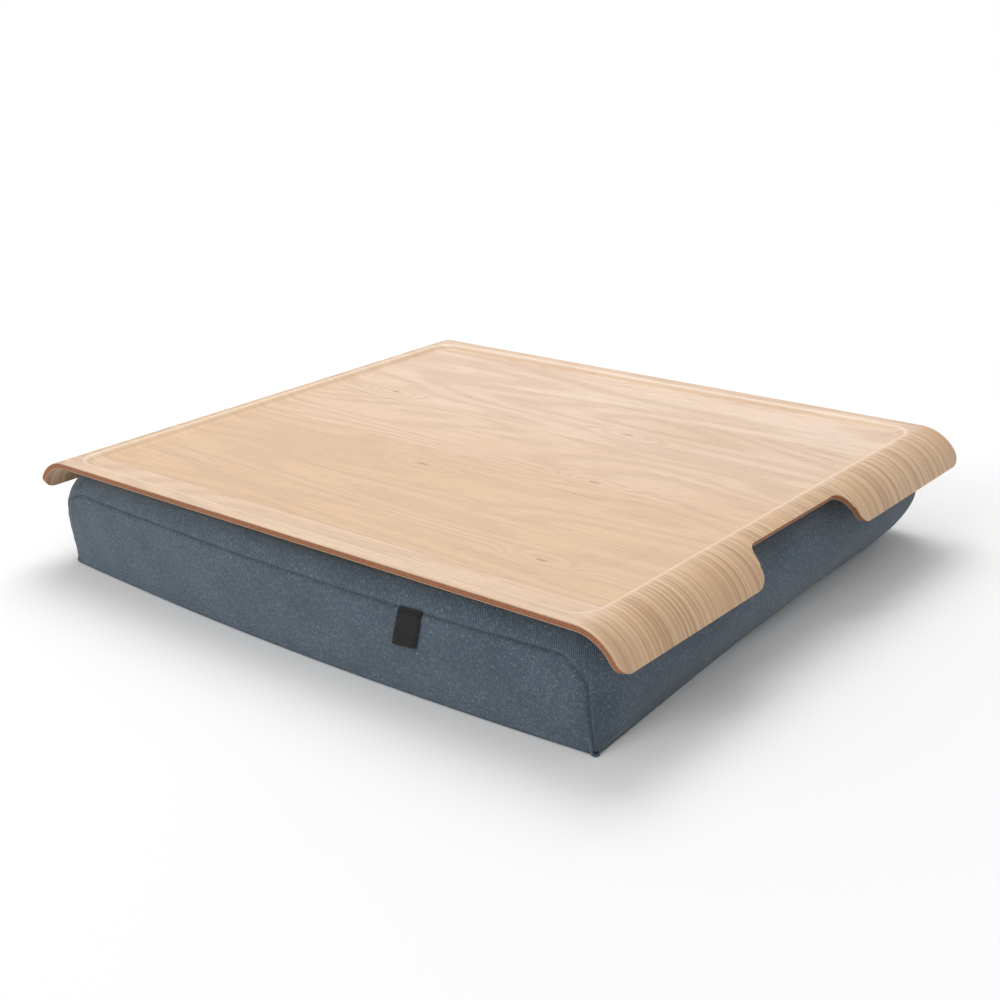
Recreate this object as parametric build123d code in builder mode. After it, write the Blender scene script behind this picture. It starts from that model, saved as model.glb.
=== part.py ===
from build123d import *
from math import cos, pi, radians, sin, sqrt
import os

# Lap tray on a bead-filled cushion. Millimetres. X runs along the tray's long side, Y from its
# front edge to its back edge, and Z up from the surface that the cushion stands on.

# Driving sizes of the whole object
tray_length = 460.0
tray_depth = 374.0
total_height = 70.0
cut_overrun = 1.0

# Laminate: five veneers glued and pressed to one curved shell
face_veneer = 0.6
core_veneer = 0.8
back_veneer = 0.6
laminate = face_veneer + 3 * core_veneer + back_veneer

# Rolled ends: the shell bends down round a horizontal line at each short side
roll_radius = 28.8
roll_angle = 74.0
trim_angle = 50.0
lip_corner_radius = 9.0

# Hand notch in the middle of each rolled end
notch_top_width = 100.0
notch_mouth_width = 112.0
notch_top_angle = 26.0
notch_corner_radius = 8.0
notch_mouth_radius = 9.0

# Recess pressed into the top, with a border band at the front and the back
recess_depth = 3.5
recess_slope_width = 5.0
recess_corner_radius = 15.0
border_band = 10.0
recess_floor_radius = 4.0

# Hook-and-loop strips between the tray and the cushion
strip_width = 25.0
strip_length = 250.0
strip_spacing = 140.0
hook_thickness = 1.2
loop_thickness = 1.2

# Cushion cover and what it holds, placed from the tray's edges
finger_gap = 18.0
front_overhang = 2.0
back_inset = 6.0
cover_thickness = 1.0
liner_thickness = 0.5
liner_clearance = 0.3
top_inset = 15.0
base_inset = 6.0
edge_squareness = 2.6
section_count = 8
base_cut = 0.5
front_bow = 8.0
side_bow = 4.0
cushion_corner_radius = 13.0
top_seam_drop = 22.0
bottom_seam_height = 7.0
corner_seam_inset = 5.0
seam_gap = 0.05

# Zip across the back panel
zip_length = 260.0
zip_height = 30.0
zip_slot_width = 20.0
tape_thickness = 0.6
chain_width = 5.0
chain_thickness = 1.4
chain_slit = 0.9
stop_length = 2.0
slider_length = 11.0
slider_width = 9.0
slider_plate = 1.0
slider_post = 0.5
slider_clearance = 0.3
zip_relief = 1.0
pin_radius = 0.7
pin_clearance = 0.1
lug_wall = 0.6
lug_thickness = 1.2
pull_width = 5.0
pull_length = 20.0
pull_thickness = 1.2
pull_clearance = 0.3

# Blank woven label sewn into the top seam of the front panel
label_width = 16.0
label_length = 21.0
label_thickness = 0.5
label_stand_off = 0.1
label_centre_x = 94.0

os.makedirs("parts", exist_ok=True)


def save(part, name):
    """Labels one finished piece and writes it."""
    part.label = name
    export_step(part, f"parts/{name}.step")


# Tray shell
roll_reach = roll_radius * sin(radians(roll_angle))
roll_start = tray_length / 2 - roll_reach
roll_centre_z = total_height - roll_radius
slope_angle_tan = recess_depth / recess_slope_width
slope_half_tan = (sqrt(1 + slope_angle_tan**2) - 1) / slope_angle_tan
recess_half_x = roll_start
recess_half_y = tray_depth / 2 - border_band


def roll_point(radius, angle, side):
    """The point of a rolled end's section at that angle from its crest; side is 1 or -1."""
    turn = radians(angle)
    return (side * (roll_start + radius * sin(turn)), roll_centre_z + radius * cos(turn))


def under_surface(depth):
    """All that lies under the laminate's face at that depth below its top face."""
    radius = roll_radius - depth
    top = total_height - depth
    mouth_widen = depth * slope_half_tan
    floor_widen = mouth_widen - recess_slope_width
    over_widen = mouth_widen + cut_overrun / slope_angle_tan
    with BuildPart() as pocket:
        for level, widen in ((top + cut_overrun, over_widen), (top - recess_depth, floor_widen)):
            with BuildSketch(Plane.XY.offset(level)):
                RectangleRounded(
                    2 * (recess_half_x + widen), 2 * (recess_half_y + widen), recess_corner_radius + widen
                )
        loft(ruled=True)
        fillet(pocket.faces().sort_by(Axis.Z)[0].edges(), recess_floor_radius + depth)
    with BuildPart() as body:
        with BuildSketch(Plane.XZ):
            with BuildLine():
                Line((-roll_start, top), (roll_start, top))
                for side in (1, -1):
                    ThreePointArc(
                        (side * roll_start, top),
                        roll_point(radius, roll_angle / 2, side),
                        roll_point(radius, roll_angle, side),
                    )
                    Line(roll_point(radius, roll_angle, side), (side * roll_start, roll_centre_z))
                Line((roll_start, roll_centre_z), (-roll_start, roll_centre_z))
            make_face()
        extrude(amount=tray_depth / 2, both=True)
        add(pocket.part, mode=Mode.SUBTRACT)
    return body.part


def lip_plane(side):
    """The plane that touches a rolled end at its trim angle, with its y axis up the roll."""
    x, z = roll_point(roll_radius, trim_angle, side)
    turn = radians(trim_angle)
    return Plane(origin=(x, 0, z), x_dir=(0, 1, 0), z_dir=(side * sin(turn), 0, cos(turn)))


def trim_tool(side):
    """What the router takes off one rolled end: the hand notch and the two lower corners."""
    notch_top = roll_radius * sin(radians(trim_angle - notch_top_angle))
    lip_end = -roll_radius * sin(radians(roll_angle - trim_angle))
    below = lip_end - 2 * notch_mouth_radius
    mouth = notch_mouth_width / 2
    flare = mouth + 2 * notch_mouth_radius
    up = side
    with BuildPart() as tool:
        with BuildSketch(lip_plane(side)) as notch:
            with BuildLine():
                Polyline(
                    (-flare, up * below),
                    (-flare, up * lip_end),
                    (-mouth, up * lip_end),
                    (-notch_top_width / 2, up * notch_top),
                    (notch_top_width / 2, up * notch_top),
                    (mouth, up * lip_end),
                    (flare, up * lip_end),
                    (flare, up * below),
                    close=True,
                )
            make_face()
            notch_rows = notch.vertices().group_by(Axis.Y)[::up]
            fillet(notch_rows[-1], notch_corner_radius)
            mouth_corners = notch.vertices().filter_by(lambda corner: abs(abs(corner.X) - mouth) < cut_overrun)
            fillet(mouth_corners, notch_mouth_radius)
        extrude(amount=roll_radius / 2, both=True)
        with BuildSketch(lip_plane(side)):
            for end in (1, -1):
                edge = end * tray_depth / 2
                inner = edge - end * lip_corner_radius
                past = edge + end * cut_overrun
                rise = up * (lip_end + lip_corner_radius)
                bend = lip_corner_radius / sqrt(2)
                with BuildLine():
                    outer = Polyline(
                        (inner, up * lip_end),
                        (inner, up * below),
                        (past, up * below),
                        (past, rise),
                        (edge, rise),
                    )
                    ThreePointArc(outer @ 1, (inner + end * bend, rise - up * bend), outer @ 0)
                make_face()
        extrude(amount=roll_radius / 2, both=True)
    return tool.part


trims = [trim_tool(side) for side in (1, -1)]
plies = {
    "face_veneer": face_veneer,
    "upper_core_ply": core_veneer,
    "middle_core_ply": core_veneer,
    "lower_core_ply": core_veneer,
    "back_veneer": back_veneer,
}
depth = 0.0
below_ply = under_surface(depth)
for name, thickness in plies.items():
    above_ply = below_ply
    depth += thickness
    below_ply = under_surface(depth)
    with BuildPart() as ply:
        add(above_ply)
        add([below_ply, *trims], mode=Mode.SUBTRACT)
    save(ply.part, name)

# Hook-and-loop strips, hook side on the tray's flat underside and loop side on the cushion
tray_underside = total_height - recess_depth - laminate
cushion_top = tray_underside - hook_thickness - loop_thickness
strip_names = {"left": -1, "middle": 0, "right": 1}
for place, step in strip_names.items():
    for kind, low, thickness in (
        ("hook", cushion_top + loop_thickness, hook_thickness),
        ("loop", cushion_top, loop_thickness),
    ):
        with BuildPart() as strip:
            with BuildSketch(Plane.XY.offset(low)):
                with Locations((step * strip_spacing, 0)):
                    Rectangle(strip_width, strip_length)
            extrude(amount=thickness)
        save(strip.part, f"{kind}_strip_{place}")

# Cushion form: level sections from the bottom to the top. Its profile is rounder than a box and
# squarer than an ellipse, fuller at the bottom than at the top, and cut flat where it stands. The
# long front bows out, and the ends draw in at the bottom and the top.
cushion_length = tray_length - 2 * finger_gap
cushion_front_reach = tray_depth / 2 + front_overhang
cushion_back_reach = tray_depth / 2 - back_inset


def cushion_form(skin, back_skin):
    """The cushion's outside, taken in by a skin all round and by a back skin at the back."""
    with BuildPart() as form:
        for step in range(section_count + 1):
            height_share = (1 - cos(pi * step / section_count)) / 2
            side_share = abs(2 * height_share - 1)
            full_inset = top_inset if 2 * height_share > 1 else base_inset
            inset = full_inset * (1 - (1 - side_share**edge_squareness) ** (1 / edge_squareness))
            half_x = cushion_length / 2 - side_bow - skin - inset
            bulge = half_x + side_bow * (2 * sin(pi * height_share) - 1)
            front = -cushion_front_reach + front_bow + skin + inset
            back = cushion_back_reach - back_skin - inset
            middle = (front + back) / 2
            level = skin - base_cut + (cushion_top - 2 * skin + base_cut) * height_share
            with BuildSketch(Plane.XY.offset(level)):
                with BuildLine():
                    ThreePointArc((-half_x, front), (0, front - front_bow), (half_x, front))
                    ThreePointArc((half_x, front), (bulge, middle), (half_x, back))
                    Line((half_x, back), (-half_x, back))
                    ThreePointArc((-half_x, back), (-bulge, middle), (-half_x, front))
                face = make_face()
                fillet(face.vertices(), cushion_corner_radius)
        loft()
        split(bisect_by=Plane.XY.offset(skin), keep=Keep.TOP)
    return form.part


def add_block(low, high, mode=Mode.ADD):
    """Adds a box between two corners to the piece in hand."""
    size = [end - start for start, end in zip(low, high)]
    centre = [(start + end) / 2 for start, end in zip(low, high)]
    with Locations(tuple(centre)):
        Box(*size, mode=mode)


# Bead filling in its sewn liner. The back wall leaves room behind it for the zip slider.
slider_room = chain_thickness / 2 - cover_thickness / 2 + slider_clearance + slider_plate + zip_relief
liner_skin = cover_thickness + liner_clearance
liner_back_skin = cover_thickness + slider_room
fill_skin = liner_skin + liner_thickness
fill_back_skin = liner_back_skin + liner_thickness
liner_outside = cushion_form(liner_skin, liner_back_skin)
fill_outside = cushion_form(fill_skin, fill_back_skin)
save(fill_outside, "bead_fill")
with BuildPart() as liner:
    add(liner_outside)
    add(fill_outside, mode=Mode.SUBTRACT)
save(liner.part, "liner_bag")

# Cover panels, cut from one skin where the seams run
outside = cushion_form(0, 0)
inside = cushion_form(cover_thickness, cover_thickness)
with BuildPart() as cover:
    add(outside)
    add(inside, mode=Mode.SUBTRACT)

top_seam = total_height - top_seam_drop
side_low = bottom_seam_height + seam_gap
side_high = top_seam - seam_gap
corner_x = cushion_length / 2 - side_bow - corner_seam_inset
corner_depth = front_bow + top_inset + cushion_corner_radius
front_corner_y = -cushion_front_reach + corner_depth
back_corner_y = cushion_back_reach - corner_depth
far_x = cushion_length
far_y = cushion_front_reach + cushion_back_reach

level_regions = {
    "top_panel": ((-far_x, -far_y, top_seam), (far_x, far_y, total_height)),
    "bottom_panel": ((-far_x, -far_y, -cut_overrun), (far_x, far_y, bottom_seam_height)),
}
for name, (low, high) in level_regions.items():
    with BuildPart() as panel:
        add(cover.part)
        add_block(low, high, mode=Mode.INTERSECT)
    save(panel.part, name)

with BuildPart() as front_panel:
    add(cover.part)
    add_block((-corner_x, -far_y, side_low), (corner_x, front_corner_y, side_high), mode=Mode.INTERSECT)
save(front_panel.part, "front_panel")

half_zip = zip_length / 2
half_slot = zip_slot_width / 2
with BuildPart() as back_panel:
    add(cover.part)
    add_block((-corner_x, back_corner_y, side_low), (corner_x, far_y, side_high), mode=Mode.INTERSECT)
    add_block(
        (-half_zip, back_corner_y, zip_height - half_slot),
        (half_zip, far_y, zip_height + half_slot),
        mode=Mode.SUBTRACT,
    )
save(back_panel.part, "back_panel")

side_x = corner_x + seam_gap
for name, start, end in (("left_panel", -far_x, 0), ("right_panel", 0, far_x)):
    with BuildPart() as panel:
        add(cover.part)
        add_block((start, -far_y, side_low), (end, far_y, side_high), mode=Mode.INTERSECT)
        add_block((-side_x, -far_y, -cut_overrun), (side_x, front_corner_y, total_height), mode=Mode.SUBTRACT)
        add_block((-side_x, back_corner_y, -cut_overrun), (side_x, far_y, total_height), mode=Mode.SUBTRACT)
    save(panel.part, name)

# Blank label, laid on the front panel under the top seam
label_outside = cushion_form(-label_stand_off - label_thickness, 0)
label_inside = cushion_form(-label_stand_off, 0)
with BuildPart() as label:
    add(label_outside)
    add(label_inside, mode=Mode.SUBTRACT)
    add_block(
        (label_centre_x - label_width / 2, -far_y, top_seam - label_length),
        (label_centre_x + label_width / 2, 0, top_seam),
        mode=Mode.INTERSECT,
    )
save(label.part, "blank_label")

# Zip tapes and coil chains, in the slot of the back panel
wall_middle = cushion_back_reach - cover_thickness / 2
tape_low, tape_high = wall_middle - tape_thickness / 2, wall_middle + tape_thickness / 2
chain_low, chain_high = wall_middle - chain_thickness / 2, wall_middle + chain_thickness / 2
chain_end = half_zip - stop_length
for place, up in {"upper": 1, "lower": -1}.items():
    slot_edge = zip_height + up * half_slot
    chain_edge = zip_height + up * chain_width / 2
    slit_edge = zip_height + up * chain_slit / 2
    with BuildPart() as tape:
        add_block(
            (-half_zip, tape_low, min(chain_edge, slot_edge)),
            (half_zip, tape_high, max(chain_edge, slot_edge)),
        )
    save(tape.part, f"zip_tape_{place}")
    with BuildPart() as chain:
        add_block(
            (-chain_end, chain_low, min(slit_edge, chain_edge)),
            (chain_end, chain_high, max(slit_edge, chain_edge)),
        )
    save(chain.part, f"zip_chain_{place}")

# End stops, one at each end of the chains
for place, side in {"left": -1, "right": 1}.items():
    with BuildPart() as stop:
        with Locations((side * (half_zip - stop_length / 2), wall_middle, zip_height)):
            Box(stop_length, chain_thickness, chain_width)
    save(stop.part, f"zip_stop_{place}")

# Slider: two plates joined through the slit, with two lugs and a pin for the pull
slider_x = chain_end - slider_clearance - slider_length / 2
outer_low = chain_high + slider_clearance
outer_high = outer_low + slider_plate
inner_high = chain_low - slider_clearance
inner_low = inner_high - slider_plate
eye_radius = pin_radius + pin_clearance + lug_wall
pin_y = outer_high + pull_clearance + eye_radius
lug_inner = pull_width / 2 + pull_clearance
lug_outer = lug_inner + lug_thickness
with BuildPart() as slider:
    for low in (inner_low, outer_low):
        with Locations((slider_x, low + slider_plate / 2, zip_height)):
            Box(slider_length, slider_plate, slider_width)
    fillet(slider.edges().filter_by(Axis.Y), slider_width / 4)
    with Locations((slider_x, wall_middle, zip_height)):
        Box(slider_length / 2, outer_high - inner_low, slider_post)
    for low in (zip_height + lug_inner, zip_height - lug_outer):
        with BuildSketch(Plane.XY.offset(low)):
            with Locations((slider_x, (outer_high + pin_y) / 2)):
                Rectangle(2 * eye_radius, pin_y - outer_high)
            with Locations((slider_x, pin_y)):
                Circle(eye_radius)
        extrude(amount=lug_thickness)
    with Locations((slider_x, pin_y, zip_height)):
        Cylinder(pin_radius, 2 * lug_outer)
save(slider.part, "zip_slider")

# Pull, which turns on the slider's pin and lies along the closed chain
with BuildPart() as pull:
    with Locations((slider_x - pull_length / 2, pin_y, zip_height)):
        Box(pull_length, pull_thickness, pull_width)
    fillet(pull.edges().filter_by(Axis.Y).group_by(Axis.X)[0], pull_width / 3)
    with Locations((slider_x, pin_y, zip_height)):
        Cylinder(eye_radius, pull_width)
        Cylinder(pin_radius + pin_clearance, pull_width, mode=Mode.SUBTRACT)
save(pull.part, "zip_pull")
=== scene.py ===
import math
import random

import bmesh
import bpy
import numpy as np
from mathutils import Matrix, Vector
from mathutils.bvhtree import BVHTree


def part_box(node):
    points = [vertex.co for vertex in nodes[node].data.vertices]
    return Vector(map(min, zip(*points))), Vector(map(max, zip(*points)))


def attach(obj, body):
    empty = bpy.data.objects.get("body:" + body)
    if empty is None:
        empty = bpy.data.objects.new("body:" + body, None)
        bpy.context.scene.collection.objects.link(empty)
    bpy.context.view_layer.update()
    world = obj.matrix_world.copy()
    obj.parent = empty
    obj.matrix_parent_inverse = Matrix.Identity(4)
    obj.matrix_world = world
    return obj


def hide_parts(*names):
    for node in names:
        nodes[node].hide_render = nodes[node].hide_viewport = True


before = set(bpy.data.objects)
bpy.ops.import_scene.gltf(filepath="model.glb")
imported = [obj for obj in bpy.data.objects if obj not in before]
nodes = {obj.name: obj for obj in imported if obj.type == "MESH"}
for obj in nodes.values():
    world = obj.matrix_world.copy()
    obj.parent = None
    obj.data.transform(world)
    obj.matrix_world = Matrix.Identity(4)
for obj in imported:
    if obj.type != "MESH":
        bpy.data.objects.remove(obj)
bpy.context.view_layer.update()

# Tray shell: five veneers, glued and pressed to one curved sheet.
# Two pale show faces lie outside three reddish core plies. The short ends roll down, and a
# shallow recess with a soft floor line is pressed into the top.
MM = 0.001
tray_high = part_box("face_veneer")[1]
tray_half_x = tray_high.x
tray_half_y = tray_high.y
tray_top = tray_high.z
roll_radius = 28.8 * MM
roll_angle = math.radians(74)
notch_angle = math.radians(26)
trim_angle = math.radians(50)
notch_half_top = 50 * MM
notch_half_mouth = 56 * MM
notch_corner = 8 * MM
notch_mouth_corner = 9 * MM
lip_corner = 9 * MM
recess_depth = 3.5 * MM
recess_slope = 5 * MM
recess_corner = 15 * MM
border_band = 10 * MM
ridge_softness = 0.45 * MM
floor_softness = 1.5 * MM
roll_start = tray_half_x - roll_radius * math.sin(roll_angle)
slope_steepness = recess_depth / recess_slope
slope_widening = (math.sqrt(1 + slope_steepness**2) - 1) / slope_steepness


def soft_max(a, b, softness):
    """The larger of two values, with the change between them rounded."""
    return np.maximum(a, b) + np.maximum(softness - np.abs(a - b), 0) ** 2 / (4 * softness)


def into_recess(along, across):
    """How far a point lies inside the recess's upper rim; outside it the value is negative."""
    half_x, half_y = roll_start, tray_half_y - border_band
    corner_x = np.abs(along) - (half_x - recess_corner)
    corner_y = np.abs(across) - (half_y - recess_corner)
    outside = np.hypot(np.maximum(corner_x, 0), np.maximum(corner_y, 0))
    return recess_corner - outside - np.minimum(np.maximum(corner_x, corner_y), 0)


def pocket_drop(along, across, under):
    """How far the pressed recess lowers the ply face that lies that deep under the top face."""
    inward = into_recess(along, across) + under * slope_widening
    slope = soft_max(inward * slope_steepness, 0, ridge_softness)
    return -soft_max(-slope, -recess_depth, floor_softness)


def shell_points(along, across, under):
    """Points of the shell: along is the length over the crown and down the roll, across is Y."""
    turn = np.maximum(np.abs(along) - roll_start, 0) / roll_radius
    radius = roll_radius - under
    x = np.sign(along) * (np.minimum(np.abs(along), roll_start) + radius * np.sin(turn))
    z = tray_top - roll_radius + radius * np.cos(turn)
    return np.stack([x, across, z - pocket_drop(x, across, under)], -1)


trim_low = roll_radius * math.sin(roll_angle - trim_angle)
trim_top = roll_radius * math.sin(trim_angle - notch_angle)
trim_height = trim_top + trim_low
notch_lean = math.atan((notch_half_mouth - notch_half_top) / (2 * trim_low))
corner_reach = notch_corner * math.tan((math.pi / 2 - notch_lean) / 2)
flat_half = notch_half_top - corner_reach
mouth_level = trim_height - notch_mouth_corner
mouth_centre = (
    notch_half_top + math.tan(notch_lean) * mouth_level + notch_mouth_corner / math.cos(notch_lean)
)


def notch_edge(level):
    """Half the notch's width at that level below its straight top edge."""
    corner_end = notch_corner * (1 - math.sin(notch_lean))
    mouth_start = mouth_level + notch_mouth_corner * math.sin(-notch_lean)
    side = notch_half_top + level * math.tan(notch_lean)
    corner = flat_half + np.sqrt(np.maximum(notch_corner**2 - (notch_corner - level) ** 2, 0))
    mouth = mouth_centre - np.sqrt(np.maximum(notch_mouth_corner**2 - (level - mouth_level) ** 2, 0))
    return np.where(level < corner_end, corner, np.where(level > mouth_start, mouth, side))


def lip_edge(level):
    """How far the lip reaches in Y at that level, with its lower corner rounded."""
    fall = np.clip(level - (trim_height - lip_corner), 0, lip_corner)
    return tray_half_y - lip_corner + np.sqrt(np.maximum(lip_corner**2 - fall**2, 0))


slope_reach = 13 * MM
border_reach = 24 * MM
lip_rows = 24
notch_columns = 10


def grid_rows():
    """Rows over the shell, as a length from its middle and a level below the notch's top edge."""
    slope_end = roll_start + 2 * MM
    rows = list(np.linspace(0, roll_start - slope_reach, 15)[:-1])
    rows += list(np.linspace(roll_start - slope_reach, slope_end, 24)[:-1])
    rows += list(np.linspace(slope_end, roll_start + roll_radius * notch_angle, 9))
    levels = trim_height * (1 - np.cos(np.pi * np.arange(1, lip_rows + 1) / lip_rows)) / 2
    turns = trim_angle - np.arcsin(np.clip((trim_top - levels) / roll_radius, -1, 1))
    above = len(rows)
    rows += list(roll_start + roll_radius * turns)
    return np.array(rows), above, np.concatenate([np.zeros(above), levels])


def shell_grid():
    """The plan of every ply: grid corners with their lengths, and the four-sided cells between."""
    row_along, notch_start, row_level = grid_rows()
    reach = tray_half_y - flat_half
    by_border = np.linspace(0, border_reach, 31)[:-1]
    edge_share = np.concatenate([by_border, np.linspace(border_reach, reach, 15)]) / reach
    last_step = len(edge_share) - 1
    plan, cells, index = [], [], {}

    def corner(row, side, block, step):
        key = (row, side if row else 1, block, step)
        if block == "B" and step in (0, notch_columns):
            key = (row, side if row else 1, "A" if step == 0 else "C", last_step)
        if key not in index:
            level = row_level[row]
            outer, inner = float(lip_edge(level)), float(notch_edge(level))
            if row < notch_start:
                outer, inner = tray_half_y, flat_half
            if key[2] == "B":
                across = flat_half * (2 * step / notch_columns - 1)
            else:
                across = (outer + (inner - outer) * edge_share[key[3]]) * (-1 if key[2] == "A" else 1)
            index[key] = len(plan)
            plan.append((side * row_along[row], across))
        return index[key]

    for side in (1, -1):
        for row in range(len(row_along) - 1):
            spans = [("A", last_step), ("C", last_step)]
            if row + 1 < notch_start:
                spans.append(("B", notch_columns))
            for block, count in spans:
                for step in range(count):
                    cell = [
                        corner(row, side, block, step),
                        corner(row + 1, side, block, step),
                        corner(row + 1, side, block, step + 1),
                        corner(row, side, block, step + 1),
                    ]
                    flip = (side < 0) != (block == "C")
                    cells.append(cell[::-1] if flip else cell)
    return np.array(plan), cells


ply_plan, ply_cells = shell_grid()


def new_piece(name, points, faces, smooth_angle=35):
    """A mesh object from points and faces, smooth but for edges sharper than that angle."""
    mesh = bpy.data.meshes.new(name)
    mesh.from_pydata([tuple(p) for p in points], [], faces)
    mesh.validate()
    piece = bpy.data.objects.new(name, mesh)
    bpy.context.scene.collection.objects.link(piece)
    mesh.shade_smooth()
    mesh.set_sharp_from_angle(angle=math.radians(smooth_angle))
    return piece


def store(piece, name, values):
    """Keeps a vector for each vertex, which materials read as a named attribute."""
    attribute = piece.data.attributes.new(name, "FLOAT_VECTOR", "POINT")
    attribute.data.foreach_set("vector", np.asarray(values, np.float32).ravel())


ridge_highlight_width = 1.3 * MM


def ply_piece(name, upper, lower):
    """One veneer of the shell, between two depths under the top face."""
    count = len(ply_plan)
    along, across = ply_plan[:, 0], ply_plan[:, 1]
    points = np.concatenate([shell_points(along, across, upper), shell_points(along, across, lower)])
    edges = {}
    for cell in ply_cells:
        for start, end in zip(cell, cell[1:] + cell[:1]):
            edges[(start, end)] = edges.get((start, end), 0) + 1
    border = [edge for edge in edges if (edge[1], edge[0]) not in edges]
    faces = [list(cell) for cell in ply_cells]
    faces += [[corner + count for corner in reversed(cell)] for cell in ply_cells]
    faces += [[end, start, start + count, end + count] for start, end in border]
    piece = new_piece(name, points, faces)
    depths = np.repeat([upper, lower], count)
    store(piece, "grain", np.stack([np.tile(along, 2), np.tile(across, 2), depths], -1))
    inward = np.tile(into_recess(points[:count, 0], across), 2)
    # rim: a painted highlight along the recess ridge, kept in the first channel of the pressed attribute
    rim = np.exp(-((inward / ridge_highlight_width) ** 2))
    # slope: painted shade on the recess slopes, kept in the second channel of the pressed attribute
    slope = np.exp(-(((inward - recess_slope / 2) / (recess_slope / 2)) ** 2))
    store(piece, "pressed", np.stack([rim, slope, 0 * rim], -1))
    first_wall = 2 * len(ply_cells)
    walls = np.zeros(len(faces), np.int32)
    walls[first_wall:] = 1
    piece.data.polygons.foreach_set("material_index", walls)
    return piece


def put(tree, kind, sockets=(), **settings):
    """Adds a shader node. A socket is linked, and a number, colour or vector is set."""
    made = tree.nodes.new(kind)
    for key, value in settings.items():
        setattr(made, key, value)
    for key, value in dict(sockets).items():
        if isinstance(value, bpy.types.NodeSocket):
            tree.links.new(value, made.inputs[key])
        else:
            made.inputs[key].default_value = value
    return made


def calc(tree, operation, *values, clamp=False):
    """One step of arithmetic on values."""
    step = put(tree, "ShaderNodeMath", dict(enumerate(values)), operation=operation, use_clamp=clamp)
    return step.outputs[0]


def blend_colour(tree, share, first, second, mode="MIX"):
    """The second colour laid over the first by that share."""
    step = put(tree, "ShaderNodeMix", {0: share, 6: first, 7: second}, data_type="RGBA", blend_type=mode)
    return step.outputs[2]


def laid_over(tree, base, mask, strength, colour):
    """A colour laid over the base where the mask is, at that strength."""
    return blend_colour(tree, calc(tree, "MULTIPLY", mask, strength), base, colour)


def wave(tree, turn):
    """A sine wave from 0 to 1."""
    return calc(tree, "MULTIPLY", calc(tree, "ADD", calc(tree, "SINE", turn), 1.0), 0.5)


def noise(tree, vector, scale=1.0, detail=2.0, roughness=0.5, distortion=0.0):
    """Cloudy noise from 0 to 1."""
    sockets = {"Vector": vector, "Scale": scale, "Detail": detail}
    sockets |= {"Roughness": roughness, "Distortion": distortion}
    return put(tree, "ShaderNodeTexNoise", sockets).outputs["Fac"]


def scaled(tree, vector, x, y, z):
    """A vector stretched along each of its axes."""
    return put(tree, "ShaderNodeVectorMath", {0: vector, 1: (x, y, z)}, operation="MULTIPLY").outputs[0]


def between(tree, value, low, high, start=0.0, end=1.0):
    """The value's place between two bounds, kept within them and given a smooth start and end."""
    sockets = {"Value": value, "From Min": low, "From Max": high, "To Min": start, "To Max": end}
    return put(tree, "ShaderNodeMapRange", sockets, interpolation_type="SMOOTHSTEP").outputs[0]


def new_group(name, inputs, outputs):
    """An empty shader group with its named inputs and outputs."""
    group = bpy.data.node_groups.new(name, "ShaderNodeTree")
    for label, kind, default in inputs:
        socket = group.interface.new_socket(label, in_out="INPUT", socket_type=kind)
        if default is not None:
            socket.default_value = default
    for label, kind in outputs:
        group.interface.new_socket(label, in_out="OUTPUT", socket_type=kind)
    return group, put(group, "NodeGroupInput").outputs, put(group, "NodeGroupOutput").inputs


def use_group(tree, group, sockets):
    """Places a shader group and returns its outputs."""
    return put(tree, "ShaderNodeGroup", sockets, node_tree=group).outputs


def new_material(name, **constants):
    """A material with one Principled shader, whose constants are set on its own sockets."""
    material = bpy.data.materials.new(name)
    material.use_nodes = True
    tree = material.node_tree
    shader = tree.nodes["Principled BSDF"]
    for key, value in constants.items():
        shader.inputs[key.replace("_", " ")].default_value = value
    return material, tree, shader.inputs


def vector_attribute(tree, name):
    """A vector that the mesh keeps for each vertex."""
    return put(tree, "ShaderNodeAttribute", attribute_name=name).outputs["Vector"]


def own_place(tree):
    """The place of each point in the piece's own axes."""
    return put(tree, "ShaderNodeTexCoord").outputs["Object"]


def axes(tree, vector):
    """The X, Y and Z of a vector."""
    return put(tree, "ShaderNodeSeparateXYZ", {0: vector}).outputs


def surface(tree, shader, colour, wear, roughness, height, relief):
    """Links a colour, a roughness that follows the wear between two values, and a bump."""
    low, high = roughness
    bump = put(tree, "ShaderNodeBump", {"Height": height, "Distance": relief, "Strength": 1.0})
    tree.links.new(colour, shader["Base Color"])
    tree.links.new(calc(tree, "MULTIPLY_ADD", wear, high - low, low), shader["Roughness"])
    tree.links.new(bump.outputs[0], shader["Normal"])


# Veneer figure: strips of crown-cut veneer, laid edge to edge with their grain along X.
# Each strip has its own tone and its own pattern of rings, pores and small knots.
figure_names = ("Rings", "Fibres", "Pores", "Tone", "Clouds", "Seams", "Knots")
tree, given, put_out = new_group(
    "veneer figure",
    [
        ("Grain", "NodeSocketVector", None),
        ("Seed", "NodeSocketFloat", 0.0),
        ("Strip Width", "NodeSocketFloat", 0.068),
    ],
    [(label, "NodeSocketFloat") for label in figure_names],
)
figure_group = tree
first_strip_edge = 21.5 * MM
along_grain, across_grain, _ = axes(tree, given["Grain"])
from_first_edge = calc(tree, "ADD", across_grain, first_strip_edge)
strip_place = calc(tree, "DIVIDE", from_first_edge, given["Strip Width"])
strip_number = calc(tree, "FLOOR", strip_place)
strip_share = calc(tree, "SUBTRACT", strip_place, strip_number)
strip_key = calc(tree, "ADD", calc(tree, "MULTIPLY", strip_number, 7.31), given["Seed"])
tone = put(tree, "ShaderNodeTexWhiteNoise", {"W": strip_key}, noise_dimensions="1D").outputs["Value"]
strip_edge = calc(tree, "ABSOLUTE", calc(tree, "SUBTRACT", strip_share, 0.5))
seams = between(tree, strip_edge, 0.4915, 0.4985)

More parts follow.
